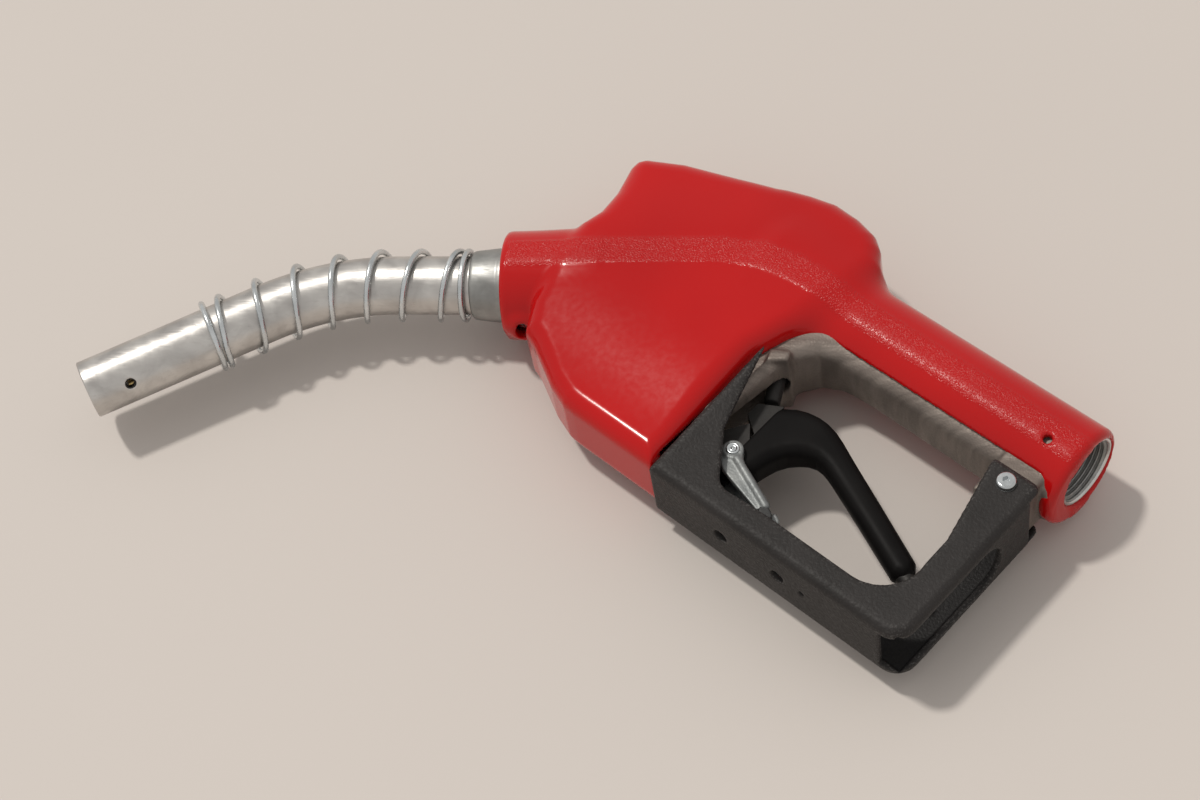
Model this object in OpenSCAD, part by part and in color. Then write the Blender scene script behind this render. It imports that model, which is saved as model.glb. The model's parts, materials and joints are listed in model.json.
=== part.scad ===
// Fuel nozzle lying on its side. Millimetres, +Z up.
// The origin is the centre of the inlet thread's mouth, on the mid-plane of the nozzle.
// +X runs along the outlet axis from the spout towards the handle, +Y towards the valve caps,
// and the mid-plane of the nozzle is z = 0.

/* [Outlet] */
// Distance along X from the collar's front face to the inlet mouth
outlet_back = 228.3; // [226:0.1:231]
// Height of the outlet axis above the inlet mouth, along Y
outlet_rise = 86.6; // [86:0.1:88]
// Outer radius of the scuff guard's collar
collar_r = 22; // [21.5:0.1:23]

/* [Spout] */
// Outer diameter of the spout tube
spout_od = 23.8; // [23:0.1:24.5]
// Wall thickness of the spout tube
spout_wall = 1.6; // [1.2:0.1:2.2]
// Radius of the bend at the tube's centreline
bend_r = 110; // [100:1:125]
// Angle of the bend
bend_angle = 30; // [25:1:32]
// Straight length between the bend and the tip
tip_straight = 77; // [65:1:85]
// Diameter of the sensing port near the tip
port_d = 3.6; // [3:0.1:4.5]

/* [Spout spring] */
// Wire diameter
wire_d = 2.4; // [2:0.1:2.8]
// Mean radius of the coil
coil_r = 14.1; // [13.8:0.1:14.4]
// Length of tube that the spring covers
coil_length = 111; // [104:1:116]

/* [Handle] */
// Angle between the handle and the outlet axis
handle_angle = 37.5; // [36:0.5:39]
// Radius of the casting at the handle
grip_r = 17.3; // [17:0.1:17.5]
// Thickness of the vinyl scuff guard
skin = 3.2; // [2.8:0.1:3.4]
// Distance of the grip's centre line below the inlet axis
grip_drop = 3.3; // [3:0.1:3.6]
// Radius of the inlet thread's wall
inlet_r = 12.3; // [12:0.1:12.6]
// Length of the inlet thread
inlet_length = 20; // [18:1:22]

/* [Lever guard] */
// Half of the guard's outer width
guard_half = 16; // [15.5:0.1:16.5]
// Wall thickness of the guard
guard_wall = 2.4; // [2:0.1:2.6]
// Depth of the guard's bottom web below the inlet axis
guard_depth = 106; // [105:0.5:108]

/* [Hidden] */
$fn = 64;

// Working clearances
run = 0.05; // a shaft in its bore
gap = 0.4; // between parts that move past each other
fit = 0.12; // between the casting and what is fitted over it or into it

// Lever pivot and clip pin, in the handle frame
lever_pivot = [-115.7, -83];
clip_pin_at = [-104.7, -78.4];
// Plunger axis: leans forward
plunger_lean = 8;
// Stem axis: its foot on the lever, in the handle frame, and its lean towards the handle
stem_foot = [-110.2, -51.5];
stem_lean = 8;

// Plunger lengths, measured up the plunger axis from the lever pivot
plunger_r = 6;
plunger_foot = 9;
plunger_top = 92;
diaphragm_t = 107;
diaphragm_r = 17;
cap_screw_at = 14.4;

// Stem lengths, measured up the stem axis from its foot
stem_r = 3.2;
nut_t = 19;
seat_t = 45;
poppet_cap_t = 70;
poppet_bore_r = 11.5;

grip_y = -grip_drop;
inner_half = guard_half - guard_wall;

// ---- Frames ----

// Children are placed from the collar's front centre, x along the outlet axis
module at_outlet() translate([-outlet_back, outlet_rise, 0]) children();

// Children are placed from the inlet mouth, x out along the handle axis
module at_handle() rotate([0, 0, -handle_angle]) children();

// Children's z runs up the plunger axis from the lever pivot; their y is -Z
module at_plunger() at_outlet() translate(from_handle(lever_pivot[0], lever_pivot[1]))
  rotate([0, 0, plunger_lean]) rotate([-90, 0, 0]) children();

// Children's z runs up the stem axis from the foot that rests on the lever
module at_stem() at_outlet() translate(from_handle(stem_foot[0], stem_foot[1]))
  rotate([0, 0, -stem_lean]) rotate([-90, 0, 0]) children();

// Children's z runs along +X from the collar's front centre
module along_outlet(x = 0) at_outlet() translate([x, 0, 0]) rotate([0, 90, 0]) children();

// Children's z runs out along the handle axis, from u millimetres before the mouth
module along_handle(u = 0, v = 0) at_handle() translate([u, v, 0]) rotate([0, 90, 0]) children();

module ring(outer, inner, h) difference() {
  cylinder(r = outer, h = h);
  translate([0, 0, -1]) cylinder(r = inner, h = h + 2);
}

// A plate on the mid-plane, in the handle frame
module handle_plate(points, half) at_handle()
  translate([0, 0, -half]) linear_extrude(2 * half) polygon(points);

// Points of an arc from angle a to angle b
function arc(c, r, a, b, steps = 8) =
  [for (i = [0:steps]) c + r * [cos(a + (b - a) * i / steps), sin(a + (b - a) * i / steps)]];

// A point in the outlet frame, given one in the handle frame
function from_handle(u, v) = [
  outlet_back + u * cos(handle_angle) + v * sin(handle_angle),
  -outlet_rise - u * sin(handle_angle) + v * cos(handle_angle)
];

// ---- Spout path ----
// The tube's centreline: straight out of the body along -X, an arc, then straight to the tip.
bend_start = -45;
bend_len = bend_r * bend_angle * PI / 180;
function path_point(s) =
  s < 0 ? [bend_start - s, 0] :
  s < bend_len ? [
    bend_start - bend_r * sin(s / bend_r * 180 / PI),
    -bend_r * (1 - cos(s / bend_r * 180 / PI))
  ] : [
    bend_start - bend_r * sin(bend_angle) - (s - bend_len) * cos(bend_angle),
    -bend_r * (1 - cos(bend_angle)) - (s - bend_len) * sin(bend_angle)
  ];
function path_turn(s) = s < 0 ? 0 : s < bend_len ? s / bend_r * 180 / PI : bend_angle;

// A pipe along the spout's path, off millimetres towards the inside of the bend:
// from x = start to short millimetres before the tip
module spout_pipe(outer, inner, start, short, off = 0) at_outlet() {
  translate([bend_start, -off, 0]) rotate([0, 90, 0]) ring(outer, inner, start - bend_start);
  translate([bend_start, -bend_r, 0]) rotate([0, 0, 90])
    rotate_extrude(angle = bend_angle, $fn = 96) translate([bend_r - off, 0]) difference() {
      circle(r = outer);
      circle(r = inner);
    }
  translate([bend_start, -bend_r, 0]) rotate([0, 0, bend_angle]) translate([0, bend_r - off, 0])
    rotate([0, -90, 0]) ring(outer, inner, tip_straight - short);
}

// Children's x runs back from the tip along the spout, from the tip's centre
module at_tip() at_outlet()
  translate([path_point(bend_len + tip_straight)[0], path_point(bend_len + tip_straight)[1], 0])
    rotate([0, 0, bend_angle]) children();

// ---- Casting ----
grip_front = -119; // where the grip meets the valve body
lug_front = -24;
lug_back = -5.8;
lug_bottom = -38;
guard_screw = [-14.5, -30.5];
front_pin = [-142, -84];
wall_u = -122; // rear face of the front block, flush with the guard's ear
neck_r = collar_r - 1;
web_half = 13; // half thickness of the web under the valves

// Solid outer form of the casting, grown by g
module casting_form(g = 0) {
  along_handle(grip_front, grip_y) cylinder(r = grip_r - fit + g, h = -grip_front);
  along_outlet(0) rotate_extrude() polygon([
    [0, 0.6 - g], [collar_r - skin - fit + g, 0.6 - g], [neck_r + g, 33],
    [neck_r + g, 90 + g], [neck_r - 4 + g, 94 + g], [0, 94 + g]
  ]);
  at_plunger() translate([0, 0, 60]) cylinder(r = diaphragm_r + g, h = diaphragm_t - 60 + g);
  at_stem() translate([0, 0, nut_t]) cylinder(r = 10 + g, h = 20);
  at_stem() translate([0, 0, 36]) cylinder(r = 14.5 + g, h = poppet_cap_t - 36 + g);
  at_outlet() translate([0, 0, -web_half - g]) linear_extrude(2 * (web_half + g)) offset(delta = g)
    polygon([
      [16, -16], [52, 12], [100, 22], [128, 6], [134, -10], [126, -26],
      from_handle(wall_u, -38), from_handle(wall_u, -62), [62, -66], [36, -54]
    ]);
  arch_fillet(g);
  at_handle() translate([front_pin[0] - 8 - g, front_pin[1] - 7 - g, -10 - g])
    cube([16 + 2 * g, 26 + 2 * g, 20 + 2 * g]);
  at_handle() translate([lug_front - g, lug_bottom - g, -inner_half + gap - g])
    cube([lug_back - lug_front + 2 * g, -lug_bottom - 12 + g, 2 * (inner_half - gap + g)]);
}

// Round inner corner where the grip's underside turns down into the front block, grown by g
module arch_fillet(g) at_handle() translate([0, 0, -web_half - g])
  linear_extrude(2 * (web_half + g)) difference() {
    translate([wall_u - 1, -41]) square([20, 22]);
    translate([-105, -38.5]) circle(r = 16.5 - g);
  }

module body_casting() color([0.62, 0.61, 0.58]) difference() {
  union() {
    difference() {
      casting_form();
      // inlet passage up the grip into the upper valve chamber
      along_handle(-129, 0) cylinder(r = 10.5, h = 129 - inlet_length + 1);
      // outlet passage from under the seat, round the plunger's boss, to the check valve
      along_outlet(40) cylinder(r = 11, h = 36);
      at_outlet() translate([77, -3, 0]) sphere(r = 15);
      at_outlet() translate([113, -28, 0]) rotate([0, 0, 152]) rotate([0, 90, 0])
        cylinder(r = 6.5, h = 30);
    }
    at_plunger() translate([0, 0, 56]) cylinder(r = 9.5, h = 40);
    at_stem() translate([0, 0, seat_t - 4]) cylinder(r = poppet_bore_r + 0.8, h = 4);
  }
  // inlet thread's wall
  along_handle(-inlet_length) cylinder(r = inlet_r, h = inlet_length + 1);
  // outlet bore for the adapter, and the check valve's chamber behind it
  along_outlet(-1) cylinder(r = 15.6, h = 23);
  along_outlet(21) cylinder(r = 12.6, h = 21);
  // chamber above the seat, the seat's hole, and the chamber under it
  at_stem() translate([0, 0, seat_t]) cylinder(r = poppet_bore_r, h = 40);
  at_stem() translate([0, 0, seat_t - 6]) cylinder(r = 7.5, h = 8);
  at_stem() translate([0, 0, 31]) cylinder(r = 9, h = seat_t - 31 - 4);
  // stem hole and the packing's pocket, wider round the nut's hexagon
  at_stem() translate([0, 0, 5]) cylinder(r = stem_r + 0.3, h = 30);
  at_stem() translate([0, 0, 8]) cylinder(r = 6.5, h = nut_t);
  at_stem() translate([0, 0, -2]) cylinder(r = 8.2, h = nut_t - 1.3);
  // seats of the two caps
  at_plunger() translate([0, 0, diaphragm_t]) cylinder(r = diaphragm_r + 0.4, h = 14);
  at_stem() translate([0, 0, poppet_cap_t]) cylinder(r = 15, h = 14);
  // plunger: bush and spring pocket, then the bore
  at_plunger() translate([0, 0, 6]) cylinder(r = 9, h = 52);
  at_plunger() translate([0, 0, 50]) cylinder(r = plunger_r + run, h = 60);
  // latch and diaphragm chambers
  at_plunger() translate([0, 0, plunger_top + 4]) cylinder(r = 11.5, h = 30);
  // guard screw through the lug, and the front pin's hole
  at_handle() translate([guard_screw[0], guard_screw[1], -20]) cylinder(r = 2.5, h = 40);
  at_handle() translate([front_pin[0], front_pin[1], -20]) cylinder(r = 2.5, h = 40);
  // spout screw's hole under the collar
  at_outlet() translate([9, -30, 0]) rotate([-90, 0, 0]) cylinder(r = 2.5, h = 20);
  // tapped holes for the cap screws
  at_plunger() for (a = [45:90:315]) rotate([0, 0, a])
    translate([cap_screw_at, 0, diaphragm_t - 9]) cylinder(r = 1.5, h = 12);
  // recess for the lever's pad when the lever is squeezed
  at_handle() translate([-124, -64, -ear_in - 0.6]) cube([4, 24, 2 * ear_in + 1.2]);
  // recesses for the lever guard's side plates
  for (side = [0, 1]) at_handle() mirror([0, 0, side])
    translate([-151, -103, inner_half - guard_wall - 0.2]) cube([32, 66, 10]);
}

// ---- Scuff guard ----

// Two balls at (x, y) whose outer faces stand at z = +-half, turned so that no facets line up
module knob(x, y, r, half) for (side = [-1, 1])
  translate([x, y, side * (half - r)]) rotate([0, 0, 1.7 * x + 2.3 * y]) sphere(r = r, $fn = 24);

// Outer form of the scuff guard, grown by g
module cover_form(g) {
  at_outlet() hull() {
    knob(59, 39, 15 + g, 21 + g);
    knob(94, 28, 15 + g, 21 + g);
    knob(119, 18, 14 + g, 20 + g);
    knob(131, 3, 15 + g, 20 + g);
    knob(129, -10, 16 + g, 20 + g);
    knob(112, -24, 12 + g, 23 + g);
    knob(44, -12, 14 + g, 23 + g);
    knob(44, 8, 14 + g, 23 + g);
  }
  at_outlet() hull() {
    knob(25, -14, 8 + g, 20 + g);
    knob(48, -14, 8 + g, 24.5 + g);
    knob(98, -30, 8 + g, 24.5 + g);
    knob(110, -44, 4 + g, 22 + g);
    knob(from_handle(-113, -99.6)[0], from_handle(-113, -99.6)[1], 4.6 + g, 17 + g);
    knob(from_handle(-160, -99.6)[0], from_handle(-160, -99.6)[1], 4.6 + g, 17 + g);
  }
  along_outlet(-g) hull() {
    translate([0, 0, 3]) cylinder(r = collar_r + g, h = 0.1, $fn = 48);
    cylinder(r = collar_r + g - 2.5, h = 0.1, $fn = 48);
    translate([0, 0, 37 + g]) cylinder(r = 25.5 + g, h = 20, $fn = 48);
  }
  along_handle(g, grip_y) hull() {
    translate([0, 0, -126 - g]) cylinder(r = grip_r + skin + g, h = 1, $fn = 48);
    translate([0, 0, -4]) cylinder(r = grip_r + skin + g, h = 0.1, $fn = 48);
    translate([0, 0, 1.5]) cylinder(r = grip_r + skin + g - 3, h = 0.1, $fn = 48);
  }
}

module scuff_guard() color([0.78, 0.07, 0.09]) difference() {
  cover_form(0);
  cover_form(-skin);
  // mouth of the collar round the adapter, and the inlet's mouth
  along_outlet(-1) cylinder(r = 16.6, h = 6);
  along_handle(-6) cylinder(r = inlet_r + 1.6, h = 10);
  // rear edge of the chin, across the guard's ear
  at_handle() translate([0, 0, -40]) linear_extrude(80)
    polygon([[wall_u, -130], [wall_u, -45], [wall_u + 2, -34], [-116, -27], [-110, -22], [-103, -20],
      [-8, -19.6], [-6, -27], [20, -27], [20, -130]]);
  // open along the underside, where the casting's web and lug come through
  handle_plate([[-150, -98], [-150, -60], [-135, -25], [-118, -12], [-8, -12], [-8, -60], [-100, -60],
    [-100, -98]], web_half + 0.2);
  // slit under the rear collar, past the guard's lug
  at_handle() translate([-26, -40, -inner_half]) cube([20, 24, 2 * inner_half]);
  // window over the spout screw, and the small hole beside the inlet
  at_outlet() translate([9, -30, 0]) rotate([-90, 0, 0]) cylinder(r = 4, h = 16);
  at_handle() translate([-13, -8, 0]) cylinder(r = 1.7, h = 30);
  // room for the casting where it fills the cover out
  casting_form(0.15);
}

// ---- Lever guard ----
web_in = guard_depth - guard_wall;
guard_back = -3;
tongue_bottom = 6.2 - guard_depth; // of the part inside the scuff guard

// Side plate of the guard, with the hand window's edge
guard_plate = concat(
  [[wall_u, -guard_depth]],
  arc([guard_back - 9, 9 - guard_depth], 9, -90, 0),
  arc([guard_back - 4, -27], 4, 0, 90, 4),
  arc([-22.5, -27], 4, 90, 180, 4),
  arc([-34, -77], 17.5, 10, -90),
  arc([-90, -86.5], 8, -90, -150, 4),
  [[-111, -75.4], [-118.5, -46], [wall_u, -38], [wall_u - 12, -42], [wall_u - 12, -60], [wall_u, -66]]
);

module lever_guard() color([0.13, 0.13, 0.135]) difference() {
  union() {
    handle_plate(guard_plate, guard_half);
    at_handle() translate([-150, tongue_bottom, -inner_half - 0.1])
      cube([30, 60, 2 * inner_half + 0.2]);
  }
  // channel between the side plates
  at_handle() translate([-121, -web_in, -inner_half])
    cube([121 + guard_back - guard_wall, 90, 2 * inner_half]);
  at_handle() translate([-152, tongue_bottom + guard_wall, -inner_half + guard_wall - 0.1])
    cube([64, 90, 2 * (inner_half - guard_wall + 0.1)]);
  // top of the rear web is open above the lug
  at_handle() translate([guard_back - 5, -36, -inner_half]) cube([8, 20, 2 * inner_half]);
  // slot down the rear web and round the lower corner
  at_handle() translate([0, -58, 0]) rotate([0, 90, 0]) translate([0, 0, -12]) cylinder(r = 11, h = 14);
  at_handle() translate([-14, -guard_depth - 1, -11]) cube([16, guard_depth - 57, 22]);
  // holes through the bottom web
  for (hole = [[-88, 2.9], [-60.5, 2.9], [-49, 1.2]])
    at_handle() translate([hole[0], -guard_depth - 1, 0]) rotate([-90, 0, 0])
      cylinder(r = hole[1], h = 8);
  // screw and pin holes across the plates
  at_handle() translate([guard_screw[0], guard_screw[1], -40]) cylinder(r = 2.6, h = 80);
  at_handle() translate([front_pin[0], front_pin[1], -40]) cylinder(r = 2.5, h = 80);
}

module hold_open_rack() color([0.66, 0.67, 0.68]) at_handle() difference() {
  translate([-73, -web_in, -10]) cube([11, 4, 20]);
  for (u = [-70.5, -66.5]) translate([u, -web_in + 4.6, -11]) cylinder(r = 1.7, h = 22);
}

module guard_rear_screw() color([0.75, 0.75, 0.76]) at_handle()
  translate([guard_screw[0], guard_screw[1], 0]) difference() {
    union() {
      translate([0, 0, -guard_half - 3]) cylinder(r = 2.4, h = 2 * guard_half + 3);
      translate([0, 0, guard_half]) cylinder(r1 = 3.9, r2 = 2.9, h = 2.4);
    }
    translate([0, 0, guard_half + 1]) cylinder(r = 1.5, h = 2, $fn = 6);
  }

module guard_rear_nut() color([0.7, 0.7, 0.7]) at_handle()
  translate([guard_screw[0], guard_screw[1], -guard_half - 3.2]) difference() {
    cylinder(r = 4.6, h = 3.2, $fn = 6);
    translate([0, 0, -1]) cylinder(r = 2.4, h = 6);
  }

module guard_front_pin() color([0.7, 0.7, 0.7]) at_handle()
  translate([front_pin[0], front_pin[1], -inner_half - 0.1])
    cylinder(r = 2.4, h = 2 * inner_half + 0.2);

// ---- Spout ----
adapter_front = -13.8;
port_back = 17; // of the sensing port, from the tip
port_tilt = 62; // of the sensing port round the tube, from +Z towards -Y
sense_off = 6; // of the sensing tube from the spout's centreline

module spout_adapter() color([0.42, 0.42, 0.41]) difference() {
  union() {
    along_outlet(adapter_front) cylinder(r1 = 14, r2 = 15.5, h = -adapter_front);
    along_outlet(0) cylinder(r = 15.5, h = 21);
  }
  along_outlet(adapter_front - 1) cylinder(r = spout_od / 2 + 0.02, h = 31);
  along_outlet(10) cylinder(r = 9, h = 20);
  along_outlet(13) ring(17, 14.2, 2.6);
  at_outlet() translate([9, -30, 0]) rotate([-90, 0, 0]) cylinder(r = 2, h = 30 - spout_od / 2);
}

module adapter_oring() color([0.08, 0.08, 0.08]) along_outlet(14.3)
  rotate_extrude() translate([14.9, 0]) circle(r = 0.68, $fn = 16);

module spout_tube() color([0.78, 0.77, 0.75]) difference() {
  spout_pipe(spout_od / 2, spout_od / 2 - spout_wall, 16, 0);
  at_tip() translate([port_back, 0, 0]) rotate([port_tilt, 0, 0])
    cylinder(r = port_d / 2 + 0.8, h = 20);
}

module sensing_port_insert() color([0.45, 0.42, 0.4]) at_tip() translate([port_back, 0, 0])
  rotate([port_tilt, 0, 0]) translate([0, 0, 8.8])
    ring(port_d / 2 + 0.78, port_d / 2, spout_od / 2 - 9.1);

module sensing_tube() color([0.72, 0.6, 0.42]) spout_pipe(2.5, 1.7, 15, port_back - 1, sense_off);

module spout_screw() color([0.72, 0.72, 0.72]) at_outlet() translate([9, -19.4, 0])
  rotate([-90, 0, 0]) difference() {
    union() {
      cylinder(r = 1.95, h = 19.4 - spout_od / 2 - 0.1);
      cylinder(r = 2.45, h = 2.6);
    }
    translate([0, 0, -0.5]) cylinder(r = 1.1, h = 2, $fn = 6);
  }

// Spring wire round the spout: closed ends, open in the middle
spring_turns = 9;
closed_pitch = 3;
spring_start = adapter_front - bend_start - wire_d / 2 - 0.1;
function spring_s(t) = closed_pitch * t
  + (coil_length - closed_pitch * spring_turns) * min(max((t - 1.3) / (spring_turns - 2.6), 0), 1);
function wire_point(t) =
  let (s = spring_s(t) - spring_start, p = path_point(s), turn = path_turn(s), a = 360 * t - 90)
  [p[0] - coil_r * cos(a) * sin(turn), p[1] + coil_r * cos(a) * cos(turn), coil_r * sin(a)];
spring_rings = 24 * spring_turns;
wire_points = [for (i = [0:spring_rings]) wire_point(i * spring_turns / spring_rings)];

// Tube of radius r with n sides, swept along points
module sweep(points, r, n = 8) {
  last = len(points) - 1;
  rings = [for (i = [0:last])
    let (
      ahead = points[min(i + 1, last)] - points[max(i - 1, 0)],
      along = ahead / norm(ahead),
      side = norm(cross(along, [0, 0, 1])) > 0.2 ? cross(along, [0, 0, 1]) : cross(along, [1, 0, 0]),
      flat = side / norm(side),
      rise = cross(flat, along)
    )
    for (k = [0:n - 1]) points[i] + r * (cos(360 * k / n) * flat + sin(360 * k / n) * rise)];
  faces = concat(
    [[for (k = [0:n - 1]) k]],
    [[for (k = [n - 1:-1:0]) last * n + k]],
    [for (i = [0:last - 1], k = [0:n - 1])
      [i * n + k, (i + 1) * n + k, (i + 1) * n + (k + 1) % n, i * n + (k + 1) % n]]
  );
  polyhedron(rings, faces, convexity = 10);
}

module spout_spring() color([0.75, 0.77, 0.78]) at_outlet() sweep(wire_points, wire_d / 2);

// ---- Check valve ----
module check_valve_seat() color([0.7, 0.62, 0.4]) along_outlet(37) ring(12.55, 8, 4);

module check_valve_poppet() color([0.25, 0.25, 0.26]) {
  along_outlet(34) cylinder(r = 10.5, h = 2.9);
  along_outlet(28) cylinder(r = 3, h = 6.1);
}

module check_valve_spring() color([0.8, 0.8, 0.8]) along_outlet(21.2) ring(5.5, 4.2, 12.6);

// ---- Main valve ----
module poppet_cap() color([0.6, 0.6, 0.58]) at_stem() {
  translate([0, 0, poppet_cap_t]) cylinder(r1 = 14.5, r2 = 12.5, h = 7);
  translate([0, 0, poppet_cap_t - 6]) cylinder(r = poppet_bore_r - 0.05, h = 6.1);
}

module poppet_cap_oring() color([0.08, 0.08, 0.08]) at_stem() translate([0, 0, poppet_cap_t - 7])
  rotate_extrude() translate([poppet_bore_r - 1, 0]) circle(r = 0.9, $fn = 16);

module main_spring() color([0.8, 0.8, 0.8]) at_stem()
  translate([0, 0, seat_t + 6.6]) ring(8.5, 6.9, 12);

module main_poppet() color([0.72, 0.62, 0.38]) at_stem() {
  translate([0, 0, seat_t + 2.6]) cylinder(r = 10, h = 3.8);
  translate([0, 0, seat_t + 6]) cylinder(r = 5.5, h = 4);
}

module poppet_disc() color([0.1, 0.1, 0.1]) at_stem()
  translate([0, 0, seat_t + 0.3]) cylinder(r = 9.6, h = 2.3);

module main_stem() color([0.8, 0.8, 0.8]) at_stem() cylinder(r = stem_r, h = seat_t + 0.3);

module stem_packing() color([0.9, 0.9, 0.85]) at_stem()
  translate([0, 0, nut_t + 0.2]) ring(6.45, stem_r + run, 7.6);

module packing_nut() color([0.74, 0.64, 0.4]) at_stem() difference() {
  union() {
    translate([0, 0, nut_t - 4]) cylinder(r = 6.45, h = 4.1);
    translate([0, 0, nut_t - 7]) cylinder(r = 7.6, h = 3.6, $fn = 6);
  }
  cylinder(r = stem_r + run, h = 30);
}

// ---- Automatic shut-off ----
module diaphragm() color([0.12, 0.12, 0.12]) at_plunger() difference() {
  translate([0, 0, diaphragm_t]) ring(diaphragm_r, 9, 1.2);
  for (a = [45:90:315]) rotate([0, 0, a])
    translate([cap_screw_at, 0, diaphragm_t - 1]) cylinder(r = 1.6, h = 4);
}

module diaphragm_cap() color([0.6, 0.6, 0.58]) at_plunger() difference() {
  translate([0, 0, diaphragm_t + 1.2]) union() {
    cylinder(r = diaphragm_r, h = 4);
    translate([0, 0, 4]) cylinder(r1 = 11.6, r2 = 10, h = 6);
  }
  translate([0, 0, diaphragm_t]) cylinder(r = 9, h = 8.4);
  for (a = [45:90:315]) rotate([0, 0, a])
    translate([cap_screw_at, 0, diaphragm_t]) cylinder(r = 1.6, h = 12);
}

module diaphragm_cap_screws() color([0.75, 0.75, 0.76]) at_plunger()
  for (a = [45:90:315]) rotate([0, 0, a]) translate([cap_screw_at, 0, 0]) {
    translate([0, 0, diaphragm_t - 7]) cylinder(r = 1.45, h = 12.3);
    translate([0, 0, diaphragm_t + 5.25]) cylinder(r = 2.5, h = 1.6);
  }

module diaphragm_spring() color([0.8, 0.8, 0.8]) at_plunger()
  translate([0, 0, diaphragm_t + 1.6]) ring(7, 6, 6.4);

module latch_pin() color([0.78, 0.78, 0.8]) at_plunger() {
  translate([0, 0, plunger_top - 14]) cylinder(r = 2.5, h = diaphragm_t - plunger_top + 14);
  translate([0, 0, diaphragm_t - 0.5]) cylinder(r = 8.6, h = 2);
}

module latch_rollers() color([0.8, 0.8, 0.82]) at_plunger()
  for (a = [0:120:240]) rotate([0, 0, a]) translate([4.25, 0, plunger_top - 6]) sphere(r = 1.35);

module plunger() color([0.78, 0.78, 0.8]) at_plunger() difference() {
  union() {
    translate([0, 0, plunger_foot]) cylinder(r = plunger_r, h = plunger_top - plunger_foot);
    translate([0, 0, 47]) cylinder(r = 8.6, h = 3);
    translate([-5, -4, 0]) cube([10, 8, plunger_foot + 2]);
    rotate([90, 0, 0]) translate([0, 0, -4]) cylinder(r = 6, h = 8);
  }
  // pin hole, latch bore and the rollers' pockets
  rotate([90, 0, 0]) translate([0, 0, -10]) cylinder(r = 2.5, h = 20);
  translate([0, 0, plunger_top - 22]) cylinder(r = 2.55, h = 30);
  for (a = [0:120:240]) rotate([0, 0, a]) translate([2, 0, plunger_top - 6])
    rotate([0, 90, 0]) cylinder(r = 1.4, h = 6);
}

module plunger_spring() color([0.8, 0.8, 0.8]) at_plunger()
  translate([0, 0, 24.2]) ring(8.4, 6.8, 22.6);

module plunger_bush() color([0.74, 0.64, 0.4]) at_plunger() translate([0, 0, 17])
  ring(8.95, plunger_r + run, 7);

// ---- Lever ----
arm_start = [-78, -53];
arm_angle = -23.5;
arm_length = 64;
ear_in = 4.4; // inner face of the core's ears, from the mid-plane
ear_out = 7; // outer face of the core's ears

// Outline of the lever's deep front part, inset by g
function lever_front(g) = [
  [-105 + g, -85 + g], [-97 - g, -82 + g], [-92 - g, -68.5 + g], [-86.6 - g, -62 + g],
  [-78, -59.4 + g], [-75, -49 - g], [-86.5, -46 - g], [-96, -46.5 - g], [-106 + g, -51 - g],
  [-108.5 + g, -60], [-107.5 + g, -74]
];

// Round arm of the lever, of radius r, ending short millimetres early
module lever_arm(r, short = 0) at_handle()
  translate([arm_start[0], arm_start[1] - 0.6, 0]) rotate([0, 0, arm_angle]) rotate([0, 90, 0])
    cylinder(r = r, h = arm_length - short);

module lever_core() color([0.5, 0.5, 0.5]) difference() {
  union() {
    for (side = [0, 1]) at_handle() mirror([0, 0, side]) translate([0, 0, ear_in])
      linear_extrude(ear_out - ear_in) union() {
        translate(lever_pivot) circle(r = 6.5);
        polygon([
          lever_pivot + [-2, 6.2], lever_pivot + [1, -6.4], [-104, -84], [-104, -70], [-109, -64]
        ]);
      }
    handle_plate(lever_front(2.2), ear_in);
    // pad under the stem's foot
    handle_plate([[-105, -66], [-105, -49], [-113.9, -54], [-113.9, -60]], ear_in);
    lever_arm(3.6);
  }
  at_handle() translate([lever_pivot[0], lever_pivot[1], -20]) cylinder(r = 2.5, h = 40);
  at_handle() translate([clip_pin_at[0], clip_pin_at[1], -20]) cylinder(r = 1.9, h = 40);
}

module lever_sleeve() color([0.05, 0.05, 0.055]) difference() {
  union() {
    handle_plate(lever_front(0), 7.2);
    lever_arm(5.7, 1.5);
    at_handle() translate([arm_start[0], arm_start[1] - 0.6, 0]) sphere(r = 5.7);
  }
  handle_plate(lever_front(2.2), ear_in);
  lever_arm(3.6);
  at_handle() translate([clip_pin_at[0], clip_pin_at[1], -20]) cylinder(r = 1.95, h = 40);
  // the front of the sleeve is open round the core's ears and pad
  at_handle() translate([-125, -90, -8]) cube([125 - 103.9, 60, 16]);
}

module lever_pin() color([0.75, 0.75, 0.76]) at_handle()
  translate([lever_pivot[0], lever_pivot[1], -9]) cylinder(r = 2.45, h = 18);

module clip_pin() color([0.72, 0.72, 0.73]) at_handle()
  translate([clip_pin_at[0], clip_pin_at[1], 0]) {
    translate([0, 0, -10.6]) cylinder(r = 1.85, h = 21.4);
    translate([0, 0, 10.7]) cylinder(r1 = 2.9, r2 = 2.3, h = 0.9);
  }

// Angle at which the clip hangs, and its length from pin to tip
clip_angle = -27;
clip_length = 25;
clip_tip = 2; // length of the rubber tip
clip_in = 7.7; // inner face of a clip plate, from the mid-plane
clip_thick = 2.8;

module hold_open_clip() color([0.66, 0.67, 0.68]) at_handle()
  translate([clip_pin_at[0], clip_pin_at[1], 0]) rotate([0, 0, clip_angle]) difference() {
    for (side = [0, 1]) mirror([0, 0, side]) translate([0, 0, clip_in])
      linear_extrude(clip_thick) union() {
        circle(r = 4);
        polygon([
          [-3.4, -2.1], [-1, -5.2], [3, -5], [clip_length, -2], [clip_length, 2.4], [9, 3.2],
          [3.4, 2.1]
        ]);
      }
    translate([0, 0, -20]) cylinder(r = 1.9, h = 40);
  }

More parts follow.
